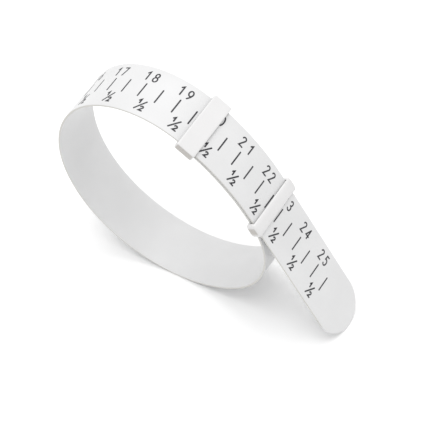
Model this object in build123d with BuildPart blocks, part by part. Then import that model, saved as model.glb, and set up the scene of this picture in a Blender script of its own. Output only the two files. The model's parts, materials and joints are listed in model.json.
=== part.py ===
from build123d import *
import math
import os

# Adjustable wrist sizer: a printed plastic strap curled into a ring, its tail passed
# through two fixed loops. The strap lies in the XZ plane and its width runs along Y.

# ---------------------------------------------------------------- driving dimensions
STRAP_LENGTH = 271.2
STRAP_WIDTH = 16.0
STRAP_THICKNESS = 0.6
LAYER_GAP = 0.3             # air between the base layer and the tail lying over it

OVERLAP_RADIUS = 51.5       # base layer between the two loops, to mid-thickness
BOTTOM_RADIUS = 33.2        # far side of the ring, to mid-thickness
CENTRE_RISE = 26.7          # from the overlap's centre up to the bottom arc's centre
BASE_START_ANGLE = -15.6    # degrees from the ring's upright axis, at the strap's end
BASE_END_ANGLE = 18.7       # where the base layer turns into the first shoulder
OVERLAP_ENTRY_ANGLE = -15.9 # where the second shoulder turns into the overlap
TAIL_START_ANGLE = 14.3     # where the tail leaves the overlap, straight

LOOP_SIDE_CLEARANCE = 0.15  # each side of the strap, inside a loop
LOOP_WALL = 1.05
LOOP_HEADROOM = 0.45        # over the tail, inside a loop
END_LOOP_BAR = 0.3
END_LOOP_LENGTH = 5.5
END_LOOP_OVERHANG = 0.45    # past the strap's own end
END_LOOP_FLOOR = 0.4        # bar under the base layer
END_LOOP_EDGE_RADIUS = 0.15
END_LOOP_FLOOR_RADIUS = 0.3
KEEPER_BAR = 0.45
KEEPER_LENGTH = 4.0
KEEPER_CENTRE = 30.35       # along the strap from its end
KEEPER_FLOOR = 0.6
KEEPER_EDGE_RADIUS = 0.4
KEEPER_FLOOR_RADIUS = 0.5

BASE_LENGTH = 36.5          # rigid stretch that carries both loops
LONG_LINK = 11.5
LONG_LINK_COUNT = 11
SHORT_LINK = 8.0
SHORT_LINK_COUNT = 11
SEAM = 0.1                  # between neighbouring strap links

PANEL_START = 106.2         # blank moulded panel on the outer face
PANEL_END = 116.6
PANEL_WIDTH = 5.5
PANEL_DEPTH = 0.12
SIDE_STEP = 0.25            # sampling step for the ring's overall extent

# ---------------------------------------------------------------- the strap's path
HALF_THICKNESS = STRAP_THICKNESS / 2
PANEL_FLOOR = HALF_THICKNESS - PANEL_DEPTH
LAYER_PITCH = STRAP_THICKNESS + LAYER_GAP
TAIL_RADIUS = OVERLAP_RADIUS + LAYER_PITCH
FULL_TURN = 2 * math.pi


def compass(angle):
    """Unit vector at an angle from +Z towards +X, in the ring's own upright frame."""
    return Vector(math.sin(angle), 0, math.cos(angle))


OVERLAP_CENTRE = Vector(0, 0, 0)
BOTTOM_CENTRE = Vector(0, 0, CENTRE_RISE)


def shoulder(overlap_radius, angle):
    """Radius and centre of the arc tangent to an overlap arc at angle and to the bottom arc."""
    rise = compass(angle).dot(BOTTOM_CENTRE)
    top = BOTTOM_RADIUS**2 - overlap_radius**2 + 2 * overlap_radius * rise - CENTRE_RISE**2
    radius = top / (2 * (BOTTOM_RADIUS - overlap_radius + rise))
    return radius, compass(angle) * (overlap_radius - radius)


def bearing(centre):
    """Compass angle of a shoulder's centre seen from the bottom arc's centre."""
    offset = centre - BOTTOM_CENTRE
    return math.atan2(offset.X, offset.Z)


base_start = math.radians(BASE_START_ANGLE)
base_end = math.radians(BASE_END_ANGLE)
overlap_entry = math.radians(OVERLAP_ENTRY_ANGLE) + FULL_TURN
tail_start = math.radians(TAIL_START_ANGLE) + FULL_TURN
first_radius, first_centre = shoulder(OVERLAP_RADIUS, base_end)
last_radius, last_centre = shoulder(TAIL_RADIUS, overlap_entry)
first_joint = bearing(first_centre)
last_joint = bearing(last_centre) + FULL_TURN

# Each arc: radius, centre, start angle, end angle. They run on from one another, tangent.
ARCS = [
    (OVERLAP_RADIUS, OVERLAP_CENTRE, base_start, base_end),
    (first_radius, first_centre, base_end, first_joint),
    (BOTTOM_RADIUS, BOTTOM_CENTRE, first_joint, last_joint),
    (last_radius, last_centre, last_joint, overlap_entry),
    (TAIL_RADIUS, OVERLAP_CENTRE, overlap_entry, tail_start),
]
ARC_STARTS = [0.0]
for arc_radius, _, arc_from, arc_to in ARCS:
    ARC_STARTS.append(ARC_STARTS[-1] + arc_radius * (arc_to - arc_from))
TAIL_STRAIGHT = ARC_STARTS[-1]
READING = ARC_STARTS[4] + TAIL_RADIUS * (base_start + FULL_TURN - overlap_entry)


def upright(distance, offset=0.0):
    """Point of the strap, offset outwards from mid-thickness, in the upright frame."""
    for index, (radius, centre, start, end) in enumerate(ARCS):
        if distance <= ARC_STARTS[index + 1]:
            angle = start + (distance - ARC_STARTS[index]) / radius
            return centre + compass(angle) * (radius + offset)
    outward = compass(tail_start)
    along = Vector(outward.Z, 0, -outward.X)
    return outward * (TAIL_RADIUS + offset) + along * (distance - TAIL_STRAIGHT)


# The ring rests on its tread and on the tail's tip: turn it until both touch Z = 0.
tip_corner = upright(STRAP_LENGTH, -HALF_THICKNESS) - BOTTOM_CENTRE
tread_radius = BOTTOM_RADIUS + HALF_THICKNESS
tip_bearing = math.atan2(tip_corner.Z, tip_corner.X)
tread_bearing = tip_bearing - math.acos(tread_radius / tip_corner.length)
TURN = -math.pi / 2 - tread_bearing


def turned(vector):
    """Turn an upright-frame vector into the resting attitude."""
    return Vector(
        vector.X * math.cos(TURN) - vector.Z * math.sin(TURN),
        0,
        vector.X * math.sin(TURN) + vector.Z * math.cos(TURN),
    )


samples = [step * SIDE_STEP for step in range(int(STRAP_LENGTH / SIDE_STEP) + 1)]
sides = [turned(upright(distance, HALF_THICKNESS)).X for distance in samples]
SHIFT = Vector(-(min(sides) + max(sides)) / 2, 0, tread_radius) - Vector(
    0, 0, turned(BOTTOM_CENTRE).Z
)


def point(distance, offset=0.0):
    """Point of the strap in the part's frame."""
    return turned(upright(distance, offset)) + SHIFT


def direction(distance):
    """Unit vector along the strap, towards its tip."""
    step = 0.001
    return (point(distance + step) - point(distance - step)).normalized()


def flat(vector):
    """The vector as a point of the XZ sketch plane."""
    return (vector.X, vector.Z)


def trace(start, end, offset):
    """One face of the strap from start to end, as arcs and a line."""
    breaks = [start] + [b for b in ARC_STARTS if start < b < end] + [end]
    for low, high in zip(breaks, breaks[1:]):
        middle = (low + high) / 2
        first, last = flat(point(low, offset)), flat(point(high, offset))
        if low >= TAIL_STRAIGHT:
            Line(first, last)
        else:
            ThreePointArc(first, flat(point(middle, offset)), last)


def strap_outline(start, end, inner=-HALF_THICKNESS, outer=HALF_THICKNESS):
    """Closed outline of a stretch of strap, seen along Y."""
    trace(start, end, outer)
    trace(start, end, inner)
    Line(flat(point(start, inner)), flat(point(start, outer)))
    Line(flat(point(end, inner)), flat(point(end, outer)))


def across(distance):
    """Plane square to the strap: local x along the width, local y outwards."""
    return Plane(origin=point(distance), x_dir=(0, 1, 0), z_dir=direction(distance))


os.makedirs("parts", exist_ok=True)


def save(part, name):
    """Label a finished piece and write its STEP file."""
    part.label = name
    export_step(part, f"parts/{name}.step")


# ---------------------------------------------------------------- base strip
with BuildPart() as base_strip:
    with BuildSketch(Plane.XZ):
        with BuildLine():
            strap_outline(0, BASE_LENGTH - SEAM / 2)
        make_face()
    extrude(amount=STRAP_WIDTH / 2, both=True)
save(base_strip.part, "base_strip")

# ---------------------------------------------------------------- the two loops
SLOT_HALF_WIDTH = STRAP_WIDTH / 2 + LOOP_SIDE_CLEARANCE
LOOP_HALF_WIDTH = SLOT_HALF_WIDTH + LOOP_WALL
SLOT_TOP = HALF_THICKNESS + LOOP_HEADROOM


def loop_section(base_depth, bar, floor):
    """Closed band round the tail and the base layer, seen along the strap."""
    top = SLOT_TOP + bar
    bottom = -base_depth - HALF_THICKNESS - floor
    with Locations((0, (top + bottom) / 2)):
        Rectangle(2 * LOOP_HALF_WIDTH, top - bottom)
    with Locations((0, (SLOT_TOP - base_depth) / 2)):
        Rectangle(2 * SLOT_HALF_WIDTH, SLOT_TOP + base_depth, mode=Mode.SUBTRACT)


end_loop_plane = across(READING + END_LOOP_LENGTH / 2 - END_LOOP_OVERHANG)
with BuildPart() as end_loop:
    with BuildSketch(end_loop_plane):
        loop_section(LAYER_PITCH, END_LOOP_BAR, END_LOOP_FLOOR)
    extrude(amount=END_LOOP_LENGTH / 2, both=True)
    upward = Axis(end_loop_plane.origin, end_loop_plane.y_dir)
    fillet(end_loop.faces().sort_by(upward)[-1].edges(), END_LOOP_EDGE_RADIUS)
    fillet(end_loop.faces().sort_by(upward)[0].edges(), END_LOOP_FLOOR_RADIUS)
    # The base layer fills the bottom of the window.
    with BuildSketch(Plane.XZ):
        with BuildLine():
            strap_outline(-END_LOOP_LENGTH, 2 * END_LOOP_LENGTH)
        make_face()
    extrude(amount=STRAP_WIDTH / 2, both=True, mode=Mode.SUBTRACT)
save(end_loop.part, "end_loop")

keeper_on_tail = READING + KEEPER_CENTRE + LAYER_PITCH * KEEPER_CENTRE / OVERLAP_RADIUS
keeper_depth = (point(keeper_on_tail) - point(KEEPER_CENTRE)).length
keeper_plane = across(keeper_on_tail)
with BuildPart() as keeper_loop:
    with BuildSketch(keeper_plane):
        loop_section(keeper_depth, KEEPER_BAR, KEEPER_FLOOR)
    extrude(amount=KEEPER_LENGTH / 2, both=True)
    upward = Axis(keeper_plane.origin, keeper_plane.y_dir)
    fillet(keeper_loop.faces().sort_by(upward)[-1].edges(), KEEPER_EDGE_RADIUS)
    fillet(keeper_loop.faces().sort_by(upward)[0].edges(), KEEPER_FLOOR_RADIUS)
    with BuildSketch(Plane.XZ):
        with BuildLine():
            strap_outline(KEEPER_CENTRE - KEEPER_LENGTH, KEEPER_CENTRE + KEEPER_LENGTH)
        make_face()
    extrude(amount=STRAP_WIDTH / 2, both=True, mode=Mode.SUBTRACT)
save(keeper_loop.part, "keeper_loop")

# ---------------------------------------------------------------- the bending strap
HINGES = [BASE_LENGTH + LONG_LINK * index for index in range(LONG_LINK_COUNT + 1)]
HINGES += [HINGES[-1] + SHORT_LINK * (index + 1) for index in range(SHORT_LINK_COUNT)]

for number, (start, end) in enumerate(zip(HINGES, HINGES[1:]), start=1):
    with BuildPart() as strap_link:
        with BuildSketch(Plane.XZ):
            with BuildLine():
                strap_outline(start + SEAM / 2, end - SEAM / 2)
            make_face()
        extrude(amount=STRAP_WIDTH / 2, both=True)
        if start < PANEL_START < end:
            with BuildSketch(Plane.XZ):
                with BuildLine():
                    strap_outline(PANEL_START, PANEL_END, PANEL_FLOOR, STRAP_THICKNESS)
                make_face()
            extrude(amount=PANEL_WIDTH / 2, both=True, mode=Mode.SUBTRACT)
    save(strap_link.part, f"strap_link_{number:02d}")

# The last stretch ends in a half-round tip.
tip_face = Plane(
    origin=point(STRAP_LENGTH - STRAP_WIDTH / 2),
    x_dir=direction(STRAP_LENGTH - STRAP_WIDTH),
    z_dir=Vector(0, 1, 0).cross(direction(STRAP_LENGTH - STRAP_WIDTH)),
)
tip_straight = STRAP_LENGTH - STRAP_WIDTH / 2 - HINGES[-1] - SEAM / 2
with BuildPart() as strap_tip:
    with BuildSketch(tip_face):
        Circle(STRAP_WIDTH / 2)
        with Locations((-tip_straight / 2, 0)):
            Rectangle(tip_straight, STRAP_WIDTH)
    extrude(amount=HALF_THICKNESS, both=True)
save(strap_tip.part, "strap_tip")

# ---------------------------------------------------------------- summary
print(f"reading at the end loop {READING:.2f}, turn {math.degrees(TURN):.2f} degrees")
print("arc radii", [round(radius, 2) for radius, _, _, _ in ARCS])
for number, hinge in enumerate(HINGES, start=1):
    place = point(hinge)
    print(f"hinge {number:2d} at {hinge:6.1f}: x {place.X:8.3f} z {place.Z:8.3f}")
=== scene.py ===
import json
import math

import bpy
from mathutils import Matrix, Vector

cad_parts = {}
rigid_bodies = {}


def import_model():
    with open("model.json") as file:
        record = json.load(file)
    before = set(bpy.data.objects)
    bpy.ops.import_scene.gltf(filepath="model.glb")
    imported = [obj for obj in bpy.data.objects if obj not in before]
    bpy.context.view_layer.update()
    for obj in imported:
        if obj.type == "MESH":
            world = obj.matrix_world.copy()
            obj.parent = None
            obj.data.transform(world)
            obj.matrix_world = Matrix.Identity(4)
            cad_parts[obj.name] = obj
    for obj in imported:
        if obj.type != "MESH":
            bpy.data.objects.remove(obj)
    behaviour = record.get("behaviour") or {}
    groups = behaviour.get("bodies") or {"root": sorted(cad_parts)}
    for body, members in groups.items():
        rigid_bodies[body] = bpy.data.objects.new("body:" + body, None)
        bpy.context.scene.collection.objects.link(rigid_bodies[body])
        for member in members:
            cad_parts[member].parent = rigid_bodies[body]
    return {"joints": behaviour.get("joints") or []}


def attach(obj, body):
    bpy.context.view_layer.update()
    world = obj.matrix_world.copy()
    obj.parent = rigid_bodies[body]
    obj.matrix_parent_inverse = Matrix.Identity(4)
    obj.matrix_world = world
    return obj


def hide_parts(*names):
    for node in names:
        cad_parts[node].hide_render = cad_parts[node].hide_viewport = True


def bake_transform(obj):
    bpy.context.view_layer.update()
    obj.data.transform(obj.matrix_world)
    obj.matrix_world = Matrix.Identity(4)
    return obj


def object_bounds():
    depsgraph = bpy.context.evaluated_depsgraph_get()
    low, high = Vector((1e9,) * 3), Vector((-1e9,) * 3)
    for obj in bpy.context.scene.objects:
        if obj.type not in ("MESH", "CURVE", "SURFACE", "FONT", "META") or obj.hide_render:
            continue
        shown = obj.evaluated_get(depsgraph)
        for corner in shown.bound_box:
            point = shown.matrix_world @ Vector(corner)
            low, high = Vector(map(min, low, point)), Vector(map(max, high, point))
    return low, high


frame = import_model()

REST_LOW, REST_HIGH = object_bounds()

# ------------------------------------------------------------------ the strap's sizes, mm
STRAP_LENGTH = 271.2
STRAP_WIDTH = 16.0
STRAP_THICKNESS = 0.6
LAYER_PITCH = 0.9               # base layer to the tail lying over it
OVERLAP_RADIUS = 51.5
BOTTOM_RADIUS = 33.2
CENTRE_RISE = 26.7
BASE_START_ANGLE = -15.6
BASE_END_ANGLE = 18.7
OVERLAP_ENTRY_ANGLE = -15.9
TAIL_START_ANGLE = 14.3
# Distances along the strap from its own end to the hinges between its stretches.
HINGES = [36.5 + 11.5 * n for n in range(12)] + [163.0 + 8.0 * n for n in range(1, 12)]

SLOT_HALF_WIDTH = 8.15
LOOP_HALF_WIDTH = 9.2
SLOT_TOP = 0.75                 # above the tail's mid-thickness
END_LOOP_BAR = 0.3              # bar over the tail
END_LOOP_LENGTH = 5.5
END_LOOP_OVERHANG = 0.45        # past the strap's own end
END_LOOP_FLOOR = 0.4            # bar under the base layer
KEEPER_BAR = 0.45
KEEPER_LENGTH = 4.0
KEEPER_CENTRE = 30.35           # from the strap's own end
KEEPER_FLOOR = 0.6
KEEPER_ROOF = 0.64              # its slot's top, just over the tail at its highest

PANEL_START, PANEL_END = 106.2, 116.6
PANEL_HALF_WIDTH = 2.75
PANEL_DEPTH = 0.12
PANEL_WALL = 0.12               # width of the slope round the panel

MM = 0.001
HINGE_TOLERANCE = 0.05          # between this path and the frame's hinges
HALF = STRAP_THICKNESS / 2
FULL_TURN = 2 * math.pi

# ------------------------------------------------------------------ the strap's path


def compass(angle):
    """Unit (x, z) at an angle from up towards +X, in the ring's own upright frame."""
    return Vector((math.sin(angle), math.cos(angle)))


BOTTOM_CENTRE = Vector((0.0, CENTRE_RISE))
TAIL_RADIUS = OVERLAP_RADIUS + LAYER_PITCH


def shoulder(overlap_radius, angle):
    """Radius and centre of the arc tangent to an overlap arc at angle and to the bottom arc."""
    rise = compass(angle).dot(BOTTOM_CENTRE)
    top = BOTTOM_RADIUS**2 - overlap_radius**2 + 2 * overlap_radius * rise - CENTRE_RISE**2
    radius = top / (2 * (BOTTOM_RADIUS - overlap_radius + rise))
    return radius, compass(angle) * (overlap_radius - radius)


def bearing(centre):
    """The compass angle of a centre, seen from the bottom arc's centre."""
    offset = centre - BOTTOM_CENTRE
    return math.atan2(offset.x, offset.y)


base_start = math.radians(BASE_START_ANGLE)
base_end = math.radians(BASE_END_ANGLE)
entry = math.radians(OVERLAP_ENTRY_ANGLE) + FULL_TURN
tail_start = math.radians(TAIL_START_ANGLE) + FULL_TURN
first_radius, first_centre = shoulder(OVERLAP_RADIUS, base_end)
last_radius, last_centre = shoulder(TAIL_RADIUS, entry)
ARCS = [
    (OVERLAP_RADIUS, Vector((0, 0)), base_start, base_end),
    (first_radius, first_centre, base_end, bearing(first_centre)),
    (BOTTOM_RADIUS, BOTTOM_CENTRE, bearing(first_centre), bearing(last_centre) + FULL_TURN),
    (last_radius, last_centre, bearing(last_centre) + FULL_TURN, entry),
    (TAIL_RADIUS, Vector((0, 0)), entry, tail_start),
]
ARC_STARTS = [0.0]
for arc_radius, _, arc_from, arc_to in ARCS:
    ARC_STARTS.append(ARC_STARTS[-1] + arc_radius * (arc_to - arc_from))
TAIL_STRAIGHT = ARC_STARTS[-1]
READING = ARC_STARTS[4] + TAIL_RADIUS * (base_start + FULL_TURN - entry)


def upright(distance, lift):
    """(x, z) of the strap, lift outwards from mid-thickness, before it is laid down."""
    for index, (radius, centre, start, _) in enumerate(ARCS):
        if distance <= ARC_STARTS[index + 1]:
            angle = start + (distance - ARC_STARTS[index]) / radius
            return centre + compass(angle) * (radius + lift)
    outward = compass(tail_start)
    along = Vector((outward.y, -outward.x))
    return outward * (TAIL_RADIUS + lift) + along * (distance - TAIL_STRAIGHT)


# Lay the path down so that two of its hinges fall on the frame's own hinges.
bodies = ["base"] + [f"link_{n:02d}" for n in range(1, 23)] + ["tip"]
hinge_at = {frozenset((j["parent"], j["child"])): Vector(j["pos_m"]) for j in frame["joints"]}


def frame_hinge(index):
    """The frame's hinge between two neighbouring stretches."""
    return hinge_at[frozenset(bodies[index : index + 2])]


hinge_a, hinge_b = upright(HINGES[0], 0), upright(HINGES[11], 0)
frame_a, frame_b = (frame_hinge(index).xz / MM for index in (0, 11))
chord, frame_chord = hinge_b - hinge_a, frame_b - frame_a
TURN = math.atan2(frame_chord.y, frame_chord.x) - math.atan2(chord.y, chord.x)
LAID = Matrix.Rotation(TURN, 2)
SHIFT = frame_a - LAID @ hinge_a


def place(distance, across, lift):
    """Point of the strap in the frame, in metres: along it, across it, and off mid-thickness."""
    laid = LAID @ upright(distance, lift) + SHIFT
    return Vector((laid.x, across, laid.y)) * MM


for index, hinge in enumerate(HINGES):
    gap = (place(hinge, 0, 0) - frame_hinge(index)).length
    if gap > HINGE_TOLERANCE * MM:
        raise RuntimeError(f"the path is {gap / MM:.3f} mm off the hinge after {bodies[index]}")

# ------------------------------------------------------------------ materials
MOTTLE_DEPTH = 0.965            # brightness of the plastic's darker patches


def node_material(name):
    """A new material with its nodes, its links and its shader."""
    made = bpy.data.materials.new(name)
    made.use_nodes = True
    nodes, links = made.node_tree.nodes, made.node_tree.links
    return made, nodes, links, nodes["Principled BSDF"]


def noise(nodes, links, coords, scale, detail, roughness=0.5):
    """Adds a noise texture, and gives back its value."""
    node = nodes.new("ShaderNodeTexNoise")
    node.inputs["Scale"].default_value = scale
    node.inputs["Detail"].default_value = detail
    node.inputs["Roughness"].default_value = roughness
    links.new(coords, node.inputs["Vector"])
    return node.outputs["Fac"]


def ramp(nodes, links, value, low, high, first, last):
    """Adds a node that takes low to high over to first to last."""
    node = nodes.new("ShaderNodeMapRange")
    node.inputs["From Min"].default_value = low
    node.inputs["From Max"].default_value = high
    node.inputs["To Min"].default_value = first
    node.inputs["To Max"].default_value = last
    links.new(value, node.inputs["Value"])
    return node.outputs["Result"]


def mix_colour(nodes, links, factor, first, second):
    """Adds a mix of two colours, each a plain colour or another node's output."""
    node = nodes.new("ShaderNodeMix")
    node.data_type = "RGBA"
    links.new(factor, node.inputs["Factor"])
    for socket, value in ((node.inputs["A"], first), (node.inputs["B"], second)):
        if isinstance(value, tuple):
            socket.default_value = (*value, 1.0)
        else:
            links.new(value, socket)
    return node.outputs["Result"]


def bump(nodes, links, height, strength, distance):
    """Adds a bump node over a height."""
    node = nodes.new("ShaderNodeBump")
    node.inputs["Strength"].default_value = strength
    node.inputs["Distance"].default_value = distance
    links.new(height, node.inputs["Height"])
    return node


def white_plastic(name, face, edge, roughness, painted_shade_start, painted_shade_full):
    """Satin white plastic: painted shade on its side flanks (a darker, warmer colour standing in for
    the shade they are in), faint moulding mottle and scuffs.
    """
    made, nodes, links, shader = node_material(name)
    coords = nodes.new("ShaderNodeTexCoord").outputs["Object"]
    cloud = noise(nodes, links, coords, 90.0, 3.0)
    grain = noise(nodes, links, coords, 2600.0, 4.0, 0.6)
    scuff_map = nodes.new("ShaderNodeMapping")
    scuff_map.inputs["Scale"].default_value = (300.0, 4200.0, 300.0)
    scuff_map.inputs["Rotation"].default_value = (0.2, 0.5, 0.3)
    links.new(coords, scuff_map.inputs["Vector"])
    scuffs = noise(nodes, links, scuff_map.outputs["Vector"], 1.0, 5.0, 0.7)

    split = nodes.new("ShaderNodeSeparateXYZ")
    links.new(coords, split.inputs["Vector"])
    across = nodes.new("ShaderNodeMath")
    across.operation = "ABSOLUTE"
    links.new(split.outputs["Y"], across.inputs[0])
    # Painted shade: near the ends of the half width, the side flanks take the darker, warmer edge
    # colour in place of the shade they are in.
    painted_shade_mask = ramp(nodes, links, across.outputs["Value"], painted_shade_start * MM, painted_shade_full * MM, 0.0, 1.0)
    darker = tuple(channel * MOTTLE_DEPTH for channel in face)
    patches = ramp(nodes, links, cloud, 0.35, 0.65, 0.0, 1.0)
    mottled = mix_colour(nodes, links, patches, face, darker)
    links.new(mix_colour(nodes, links, painted_shade_mask, mottled, edge), shader.inputs["Base Color"])

    rough = ramp(nodes, links, scuffs, 0.3, 0.8, roughness - 0.05, roughness + 0.1)
    links.new(rough, shader.inputs["Roughness"])
    shader.inputs["IOR"].default_value = 1.49
    shader.inputs["Specular IOR Level"].default_value = 0.45

    fine = bump(nodes, links, grain, 0.12, 0.04 * MM)
    broad = bump(nodes, links, cloud, 0.25, 0.1 * MM)
    links.new(fine.outputs["Normal"], broad.inputs["Normal"])
    links.new(broad.outputs["Normal"], shader.inputs["Normal"])
    return made


def printed_ink(name):
    """Dark grey pad-printed ink, a little uneven in weight."""
    made, nodes, links, shader = node_material(name)
    coords = nodes.new("ShaderNodeTexCoord").outputs["Object"]
    weight = noise(nodes, links, coords, 1500.0, 3.0)
    tone = ramp(nodes, links, weight, 0.3, 0.7, 0.0, 1.0)
    colour = mix_colour(nodes, links, tone, (0.022, 0.022, 0.026), (0.042, 0.042, 0.048))
    links.new(colour, shader.inputs["Base Color"])
    links.new(ramp(nodes, links, weight, 0.3, 0.7, 0.45, 0.6), shader.inputs["Roughness"])
    grain = bump(nodes, links, weight, 0.1, 0.02 * MM)
    links.new(grain.outputs["Normal"], shader.inputs["Normal"])
    return made


STRAP_PLASTIC = white_plastic(
    "strap_plastic",
    face=(0.68, 0.68, 0.682),
    # edge: painted shade for the strap's side flanks
    edge=(0.575, 0.565, 0.53),
    roughness=0.38,
    painted_shade_start=STRAP_WIDTH / 2 - 0.1,
    painted_shade_full=STRAP_WIDTH / 2,
)
LOOP_PLASTIC = white_plastic(
    "loop_plastic",
    face=(0.7, 0.695, 0.695),
    # edge: painted shade for the loops' side flanks, darker than the strap's
    edge=(0.47, 0.45, 0.425),
    roughness=0.34,
    painted_shade_start=LOOP_HALF_WIDTH - 0.08,
    painted_shade_full=LOOP_HALF_WIDTH,
)
INK = printed_ink("printed_ink")

# ------------------------------------------------------------------ mesh building
LEAST_STEP = 0.005


def mesh_piece(name, points, faces, material, smooth_angle=40.0):
    """A mesh object with its doubled points merged and its normals turned outwards."""
    mesh = bpy.data.meshes.new(name)
    mesh.from_pydata([tuple(point) for point in points], [], faces)
    made = bpy.data.objects.new(name, mesh)
    bpy.context.scene.collection.objects.link(made)
    mesh.materials.append(material)
    bpy.ops.object.select_all(action="DESELECT")
    bpy.context.view_layer.objects.active = made
    made.select_set(True)
    bpy.ops.object.mode_set(mode="EDIT")
    bpy.ops.mesh.select_all(action="SELECT")
    bpy.ops.mesh.remove_doubles(threshold=1e-6)
    bpy.ops.mesh.normals_make_consistent(inside=False)
    bpy.ops.object.mode_set(mode="OBJECT")
    bpy.ops.object.shade_smooth_by_angle(angle=math.radians(smooth_angle))
    return made


def wall_faces(first, size, rows, inward=False):
    """Faces between neighbouring rows of a closed section, whose points start at first."""
    faces = []
    for row in range(rows - 1):
        low, high = first + row * size, first + (row + 1) * size
        for column in range(size):
            after = (column + 1) % size
            face = (low + column, low + after, high + after, high + column)
            faces.append(face[::-1] if inward else face)
    return faces


def ladder(low, high, step, extra=()):
    """Evenly spaced values from low to high, with the extra ones between, and none too near."""
    count = max(1, math.ceil((high - low) / step))
    values = {round(low + (high - low) * n / count, 6) for n in range(count + 1)}
    values |= {round(value, 6) for value in extra if low < value < high}
    ordered = sorted(values)
    return [v for i, v in enumerate(ordered) if i == 0 or v - ordered[i - 1] > LEAST_STEP]


# ------------------------------------------------------------------ the strap
EDGE_RADIUS = 0.2
EDGE_STEPS = 4
FACE_HALF = STRAP_WIDTH / 2 - EDGE_RADIUS
TIP_START = STRAP_LENGTH - STRAP_WIDTH / 2
TIP_STEPS = 28
PANEL_EDGES = [PANEL_HALF_WIDTH - PANEL_WALL / 2, PANEL_HALF_WIDTH + PANEL_WALL / 2]
OUTER_COLUMNS = ladder(-1, 1, 0.2, [sign * e / FACE_HALF for e in PANEL_EDGES for sign in (-1, 1)])
INNER_COLUMNS = ladder(-1, 1, 0.25)


def ease(value):
    """Smooth step from 0 to 1."""
    value = min(1.0, max(0.0, value))
    return value * value * (3 - 2 * value)


def panel_sink(distance, across):
    """How far the outer face is let in at the blank panel."""
    inset = min(distance - PANEL_START, PANEL_END - distance, PANEL_HALF_WIDTH - abs(across))
    return PANEL_DEPTH * ease(inset / PANEL_WALL + 0.5)


def ring_of_points(distance, half_width, lean):
    """One closed section of the strap. lean turns the rounded edge forwards, round the tip."""
    points = []
    for column in OUTER_COLUMNS:
        across = column * half_width
        points.append((distance, across, HALF - panel_sink(distance, across)))
    for side in (1, -1):
        turns = [math.pi * n / (2 * EDGE_STEPS) for n in range(1, 2 * EDGE_STEPS)]
        for turn in turns if side > 0 else reversed(turns):
            out = EDGE_RADIUS * math.sin(turn)
            lift = (HALF - EDGE_RADIUS) * (1 if turn < math.pi / 2 else -1)
            if abs(turn - math.pi / 2) < 1e-6:
                lift = 0.0
            points.append((
                distance + out * math.sin(lean),
                side * (half_width + out * math.cos(lean)),
                lift + EDGE_RADIUS * math.cos(turn),
            ))
        if side > 0:
            for column in reversed(INNER_COLUMNS):
                points.append((distance, column * half_width, -HALF))
    return points


def strap_sections(start, end):
    """(distance, half width, lean) of the sections of one stretch, with the half-round tip."""
    breaks = [s + sign * PANEL_WALL / 2 for s in (PANEL_START, PANEL_END) for sign in (-1, 1)]
    sections = [(d, FACE_HALF, 0.0) for d in ladder(start, min(end, TIP_START), 0.5, breaks)]
    if end > TIP_START:
        for n in range(1, TIP_STEPS + 1):
            lean = math.pi / 2 * n / TIP_STEPS
            distance = TIP_START + FACE_HALF * math.sin(lean)
            sections.append((distance, FACE_HALF * math.cos(lean), lean))
    return sections


def strap_piece(name, start, end):
    """One stretch of the strap's skin. Only the strap's own start has an end face."""
    rings = [ring_of_points(*section) for section in strap_sections(start, end)]
    size = len(rings[0])
    points = [place(*point) for ring in rings for point in ring]
    faces = wall_faces(0, size, len(rings))
    if start == 0:
        faces.append(tuple(range(size)))
    return mesh_piece(name, points, faces, STRAP_PLASTIC)


link_ends = [0.0] + HINGES + [STRAP_LENGTH]
middles = [(low + high) / 2 for low, high in zip(link_ends[1:-1], link_ends[2:])]
piece_ends = [0.0] + middles[:-1] + [STRAP_LENGTH]
REACH = 4.0                     # the shorter links' half length


def bend_between(made, index):
    """Works out how far the piece would reach either side of its hinge, which nothing uses, and
    bakes the piece's placement into its mesh; the piece is not bent.
    """
    reach = min(HINGES[index] - link_ends[index], link_ends[index + 2] - HINGES[index]) / 2
    reach = max(reach, REACH)
    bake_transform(made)


node_of_body = {"base": "base_strip", "tip": "strap_tip"}
for index in range(len(HINGES)):
    stretch = strap_piece(f"strap_stretch_{index + 1:02d}", piece_ends[index], piece_ends[index + 1])
    bend_between(stretch, index)
    stood_for = [node_of_body.get(bodies[index], f"strap_{bodies[index]}")]
    if index == len(HINGES) - 1:
        stood_for.append("strap_tip")
    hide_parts(*stood_for)

# ------------------------------------------------------------------ the two loops
ROUNDING_STEPS = 6
LEAST_RADIUS = 0.03             # of a pared corner


def quarter(turn_from, radius, corner):
    """Points round a corner's quarter circle, turning clockwise from turn_from degrees."""
    x, y = corner
    points = []
    for n in range(ROUNDING_STEPS + 1):
        angle = math.radians(turn_from - 90 * n / ROUNDING_STEPS)
        points.append((x + radius * math.cos(angle), y + radius * math.sin(angle)))
    return points


def outer_half(top, bottom, top_radius, bottom_radius, inset, side_inset):
    """Right half of the band's outline, from the middle of its top to the middle of its floor."""
    side, top, bottom = LOOP_HALF_WIDTH - side_inset, top - inset, bottom + inset
    upper = max(LEAST_RADIUS, top_radius - inset)
    lower = max(LEAST_RADIUS, bottom_radius - inset)
    half = [(0.0, top)]
    half += quarter(90, upper, (side - upper, top - upper))
    half += quarter(0, lower, (side - lower, bottom + lower))
    return half + [(0.0, bottom)]


def window_half(base_level, roof):
    """Right half of the band's window: the tail's slot over the base layer's seat."""
    return [
        (0.0, roof),
        (SLOT_HALF_WIDTH, roof),
        (SLOT_HALF_WIDTH, base_level),
        (STRAP_WIDTH / 2, base_level),
        (STRAP_WIDTH / 2, base_level - HALF),
        (0.0, base_level - HALF),
    ]


def whole(half):
    """The closed outline whose right half is given."""
    return half + [(-x, y) for x, y in reversed(half[1:-1])]


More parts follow.
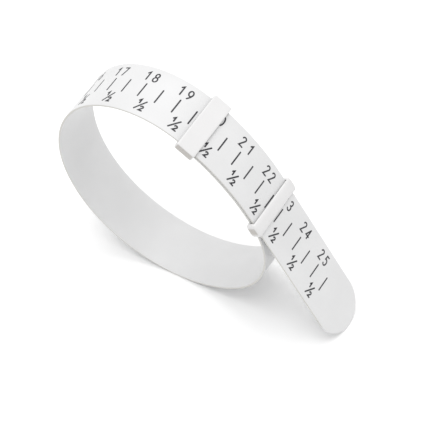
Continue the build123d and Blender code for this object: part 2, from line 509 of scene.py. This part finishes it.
def rounded_rows(length, run):
    """(place along the band, share of the full paring): each end rounds off over run."""
    turns = [math.pi / 2 * n / ROUNDING_STEPS for n in range(ROUNDING_STEPS + 1)]
    ends = [(run * (1 - math.cos(t)), 1 - math.sin(t)) for t in turns]
    rows = [(-length / 2 + back, share) for back, share in ends]
    rows += [(d, 0.0) for d in ladder(-length / 2 + run, length / 2 - run, 0.5)[1:-1]]
    return rows + [(length / 2 - back, share) for back, share in reversed(ends)]


def end_faces(outer, inner):
    """The band's end in two halves, between the point numbers of its outline and its window."""
    outer_middle, inner_middle = len(outer) // 2, len(inner) // 2
    right = outer[: outer_middle + 1] + inner[inner_middle::-1]
    left = outer[outer_middle:] + outer[:1] + inner[:1] + inner[: inner_middle - 1 : -1]
    return [tuple(right), tuple(left)]


def loop_piece(name, on_tail, on_base, length, bar, floor, radii, rounding, roof):
    """A closed band round both layers.

    radii are those of its upper and lower corners. rounding says how its ends round off: how
    deep at its top and floor, how deep at its sides, and over what length.
    """
    origin = place(on_tail, 0, 0)
    along_axis = (place(on_tail + 0.01, 0, 0) - place(on_tail - 0.01, 0, 0)).normalized()
    lift_axis = (place(on_tail, 0, 1) - origin).normalized()

    def base_level(along):
        """Height of the base layer's mid-thickness under the tail's, at a place in the band."""
        return (place(on_base + along, 0, 0) - origin).dot(lift_axis) / MM

    depth, side_depth, run = rounding
    rows = rounded_rows(length, run)
    bottom = base_level(0) - HALF - floor
    outside = [
        whole(outer_half(SLOT_TOP + bar, bottom, *radii, share * depth, share * side_depth))
        for _, share in rows
    ]
    inside = [whole(window_half(base_level(along), roof)) for along, _ in rows]
    points, faces = [], []
    for outlines, inward in ((outside, False), (inside, True)):
        first, size = len(points), len(outlines[0])
        for (along, _), outline in zip(rows, outlines):
            for x, y in outline:
                local = along_axis * along + Vector((0, 1, 0)) * x + lift_axis * y
                points.append(origin + local * MM)
        faces += wall_faces(first, size, len(rows), inward)
    outer_size, inner_size = len(outside[0]), len(inside[0])
    inner_first = outer_size * len(rows)
    for row in (0, len(rows) - 1):
        outer_low, inner_low = row * outer_size, inner_first + row * inner_size
        outer = list(range(outer_low, outer_low + outer_size))
        inner = list(range(inner_low, inner_low + inner_size))
        faces += end_faces(outer, inner)
    made = mesh_piece(name, points, faces, LOOP_PLASTIC)
    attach(made, "base")
    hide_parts(name.replace("_moulding", ""))


end_loop_on_base = END_LOOP_LENGTH / 2 - END_LOOP_OVERHANG
loop_piece(
    "end_loop_moulding",
    on_tail=READING + end_loop_on_base,
    on_base=end_loop_on_base * OVERLAP_RADIUS / TAIL_RADIUS,
    length=END_LOOP_LENGTH,
    bar=END_LOOP_BAR,
    floor=END_LOOP_FLOOR,
    radii=(0.35, 0.5),
    rounding=(0.24, 0.5, 0.5),
    roof=SLOT_TOP,
)
loop_piece(
    "keeper_loop_moulding",
    on_tail=READING + KEEPER_CENTRE + LAYER_PITCH * KEEPER_CENTRE / OVERLAP_RADIUS,
    on_base=KEEPER_CENTRE,
    length=KEEPER_LENGTH,
    bar=KEEPER_BAR,
    floor=KEEPER_FLOOR,
    radii=(0.6, 0.6),
    rounding=(0.5, 0.45, 1.5),
    roof=KEEPER_ROOF,
)

# ------------------------------------------------------------------ the printed scale
INK_LIFT = 0.018                # above the strap's outer face
INK_ROOT = 0.05                 # below it
STROKE = 0.41                   # line width of ticks and numerals
SMALL_STROKE = 0.43             # line width of the half marks
STROKE_STEP = 0.25
LONGEST_MITRE = 2.2             # at a sharp corner, in half widths
CAP_TURNS = (35, 65)            # degrees at which a stroke's round end has points
SCALE_SHIFT = 0.73              # the printed scale starts this far along the strap
DIGIT_TOP = 2.77                # the numerals' upper centreline over their lower one
DIGIT_BASE = 3.44               # height of the numerals' lower centreline across the strap
TICK_LOW, TICK_HIGH = -2.26, 2.11
FIRST_CENTIMETRE, LAST_CENTIMETRE = 15, 25
HALF_CENTIMETRE = 5.0
HALF_MARK_PLACE = 2.5           # middle of a half mark, past its tick


def arc(x, y, rx, ry, first, last, count=14):
    """Points along an ellipse, from one angle to another in degrees."""
    angles = [math.radians(first + (last - first) * n / count) for n in range(count + 1)]
    return [(x + rx * math.cos(a), y + ry * math.sin(a)) for a in angles]


# Each numeral is a list of strokes, in mm, from its lower left centreline corner.
NUMERALS = {
    "0": [arc(0.57, 1.385, 0.57, 1.385, 90, 450, 24)],
    "1": [[(0.0, 2.2), (0.55, DIGIT_TOP), (0.55, 0.0)]],
    "2": [arc(0.55, 2.2, 0.55, 0.57, 165, -38) + [(0.0, 0.0), (1.15, 0.0)]],
    "3": [arc(0.5, 2.12, 0.52, 0.65, 150, -90), arc(0.5, 0.74, 0.6, 0.74, 90, -150)],
    "4": [[(0.85, 0.0), (0.85, DIGIT_TOP)], [(0.85, DIGIT_TOP), (-0.05, 0.75), (1.2, 0.75)]],
    "5": [[(1.05, DIGIT_TOP), (0.22, DIGIT_TOP), (0.12, 1.5)] + arc(0.52, 0.9, 0.6, 0.9, 128, -145)],
    "6": [arc(0.57, 0.85, 0.57, 0.85, 150, 510, 22), [(0.07, 1.25), (0.3, 1.95), (0.85, DIGIT_TOP)]],
    "7": [[(0.0, DIGIT_TOP), (1.12, DIGIT_TOP), (0.4, 0.0)]],
    "8": [arc(0.57, 2.12, 0.5, 0.65, 90, 450, 20), arc(0.57, 0.74, 0.6, 0.74, 90, 450, 22)],
    "9": [arc(0.57, 1.92, 0.57, 0.85, -30, 330, 22), [(1.07, 1.52), (0.84, 0.82), (0.29, 0.0)]],
}
# Where the two numerals of a label stand about their tick: centre of the first, of the second.
TEEN_CENTRES = (-1.45, 1.15)
TWENTY_CENTRES = (-1.15, 1.38)
NARROW_ONE = 0.28               # the 1's stem stands this much off the numeral's middle
# The half mark, from its tick's foot: slash, small 1, small 2.
HALF_MARK = [
    [(1.45, -6.25), (3.42, -3.15)],
    [(1.4, -3.4), (1.85, -2.85), (1.85, -4.15)],
    arc(3.2, -5.2, 0.36, 0.34, 165, -35, 8) + [(2.8, -6.3), (3.65, -6.3)],
]


def finely(stroke):
    """The stroke's points with more between them, so that it follows the strap's curve."""
    points = []
    for here, there in zip(stroke, stroke[1:]):
        start, end = Vector(here), Vector(there)
        count = max(1, math.ceil((end - start).length / STROKE_STEP))
        points += [start.lerp(end, n / count) for n in range(count)]
    return points + [Vector(stroke[-1])]


def cap_rows(end, travel, outwards, width):
    """Pairs of left and right points that round off a stroke's end."""
    side = Vector((-travel.y, travel.x)) * width / 2
    out = travel * outwards * width / 2
    rows = []
    for degrees in CAP_TURNS:
        turn = math.radians(degrees)
        spot = end + out * math.sin(turn)
        rows.append((spot + side * math.cos(turn), spot - side * math.cos(turn)))
    return rows


def stroke_rows(stroke, width):
    """Pairs of left and right edge points, with round ends where it doesn't close on itself."""
    points = finely(stroke)
    closed = (points[0] - points[-1]).length < 1e-6
    if closed:
        points = points[:-1]
    count = len(points)
    rows = []
    for index, here in enumerate(points):
        ways = []
        if closed or index > 0:
            ways.append((here - points[index - 1]).normalized())
        if closed or index < count - 1:
            ways.append((points[(index + 1) % count] - here).normalized())
        arriving, leaving = ways[0], ways[-1]
        middle = arriving + leaving
        middle = middle.normalized() if middle.length > 0.2 else arriving
        side = Vector((-middle.y, middle.x))
        slant = side.dot(Vector((-arriving.y, arriving.x)))
        mitre = side * width / 2 * min(LONGEST_MITRE, 1.0 / max(0.3, slant))
        rows.append((here + mitre, here - mitre))
    if closed:
        return rows + rows[:1]
    first_way = (points[1] - points[0]).normalized()
    last_way = (points[-1] - points[-2]).normalized()
    opening = cap_rows(points[0], first_way, -1, width)[::-1]
    return opening + rows + cap_rows(points[-1], last_way, 1, width)


def add_stroke(mesh_points, mesh_faces, stroke, width):
    """Adds one stroke as a closed thin pad lying on the strap's outer face."""
    rows = stroke_rows(stroke, width)
    first = len(mesh_points)
    for a, b in rows:
        for spot, lift in ((a, INK_LIFT), (b, INK_LIFT), (b, -INK_ROOT), (a, -INK_ROOT)):
            mesh_points.append(place(spot.x, spot.y, HALF + lift))
    mesh_faces += wall_faces(first, 4, len(rows))
    if (rows[0][0] - rows[-1][0]).length > 1e-6:
        last = first + (len(rows) - 1) * 4
        mesh_faces.append((first, first + 3, first + 2, first + 1))
        mesh_faces.append((last, last + 1, last + 2, last + 3))


def numeral_span(figure):
    """The numeral's least and greatest place along the strap, on its centrelines."""
    xs = [point[0] for stroke in NUMERALS[figure] for point in stroke]
    return min(xs), max(xs)


marks = []                      # (place along the strap, strokes, width) for every printed mark
for centimetre in range(FIRST_CENTIMETRE, LAST_CENTIMETRE + 1):
    tick = centimetre * 10.0 + SCALE_SHIFT
    for at in (tick, tick + HALF_CENTIMETRE):
        marks.append((at, [[(at, TICK_LOW), (at, TICK_HIGH)]], STROKE))
    label = str(centimetre)
    centres = TEEN_CENTRES if centimetre < 20 else TWENTY_CENTRES
    for position, (figure, centre) in enumerate(zip(label, centres)):
        low, high = numeral_span(figure)
        if figure == "1" and position == 1:
            centre += NARROW_ONE
        move = tick + centre - (low + high) / 2
        strokes = [[(x + move, y + DIGIT_BASE) for x, y in stroke] for stroke in NUMERALS[figure]]
        marks.append((tick + centre, strokes, STROKE))
    half_mark = [[(x + tick, y) for x, y in stroke] for stroke in HALF_MARK]
    marks.append((tick + HALF_MARK_PLACE, half_mark, SMALL_STROKE))

for index in range(len(HINGES)):
    start, end = piece_ends[index], piece_ends[index + 1]
    points, faces = [], []
    for along, strokes, width in marks:
        if start <= along < end:
            for stroke in strokes:
                add_stroke(points, faces, stroke, width)
    if points:
        print_piece = mesh_piece(f"scale_print_{index + 1:02d}", points, faces, INK, 30.0)
        bend_between(print_piece, index)

# ------------------------------------------------------------------ floor, light, camera
FLOOR_REACH = 3.0
FLOOR_DROP = 0.02 * MM          # keeps the floor just clear of what stands on it
FLOOR_WHITE = (0.94, 0.94, 0.94, 1.0)
SKY_STRENGTH = 0.86
KEY_PLACE = (-0.04, 0.06, 0.9)
KEY_DIAMETER = 1.0
KEY_POWER = 4.9

floor_mesh = bpy.data.meshes.new("floor")
corners = [(x * FLOOR_REACH, y * FLOOR_REACH, 0) for x, y in ((-1, -1), (1, -1), (1, 1), (-1, 1))]
floor_mesh.from_pydata(corners, [], [(0, 1, 2, 3)])
floor = bpy.data.objects.new("floor", floor_mesh)
bpy.context.scene.collection.objects.link(floor)
floor.location.z = min(0.0, REST_LOW.z) - FLOOR_DROP
floor_paint, *_, floor_shader = node_material("white_floor")
floor_shader.inputs["Base Color"].default_value = FLOOR_WHITE
floor_shader.inputs["Roughness"].default_value = 0.9
floor_shader.inputs["Specular IOR Level"].default_value = 0.1
floor_mesh.materials.append(floor_paint)

world = bpy.data.worlds.new("studio")
bpy.context.scene.world = world
world.use_nodes = True
sky = world.node_tree.nodes["Background"]
sky.inputs["Color"].default_value = (1.0, 1.0, 1.0, 1.0)
sky.inputs["Strength"].default_value = SKY_STRENGTH

middle = (REST_LOW + REST_HIGH) / 2
key_lamp = bpy.data.lights.new("key", "AREA")
key_lamp.shape = "DISK"
key_lamp.size = KEY_DIAMETER
key_lamp.energy = KEY_POWER
key = bpy.data.objects.new("key", key_lamp)
bpy.context.scene.collection.objects.link(key)
key.location = KEY_PLACE
key.rotation_mode = "QUATERNION"
key.rotation_quaternion = (Vector(KEY_PLACE) - middle).to_track_quat("Z", "Y")

CAMERA_AZIMUTH = 36.87
CAMERA_ELEVATION = 51.50
CAMERA_ROLL = 6.95
CAMERA_DISTANCE = 0.4773
CAMERA_AIM = Vector((0.00152, 0.0, 0.02357))
CAMERA_LENS = 150.7

camera_data = bpy.data.cameras.new("camera")
camera = bpy.data.objects.new("camera", camera_data)
bpy.context.scene.collection.objects.link(camera)
azimuth, elevation = math.radians(CAMERA_AZIMUTH), math.radians(CAMERA_ELEVATION)
back = Vector((
    math.sin(azimuth) * math.cos(elevation),
    -math.cos(azimuth) * math.cos(elevation),
    math.sin(elevation),
))
camera.rotation_mode = "QUATERNION"
level = back.to_track_quat("Z", "Y")
rolled = Matrix.Rotation(-math.radians(CAMERA_ROLL), 3, "Z").to_quaternion()
camera.rotation_quaternion = level @ rolled
camera.location = CAMERA_AIM + back * CAMERA_DISTANCE
camera_data.lens = CAMERA_LENS
camera_data.sensor_width = 36.0
camera_data.clip_start = 0.01
camera_data.clip_end = 10.0
bpy.context.scene.camera = camera
bpy.context.scene.view_settings.view_transform = "Standard"
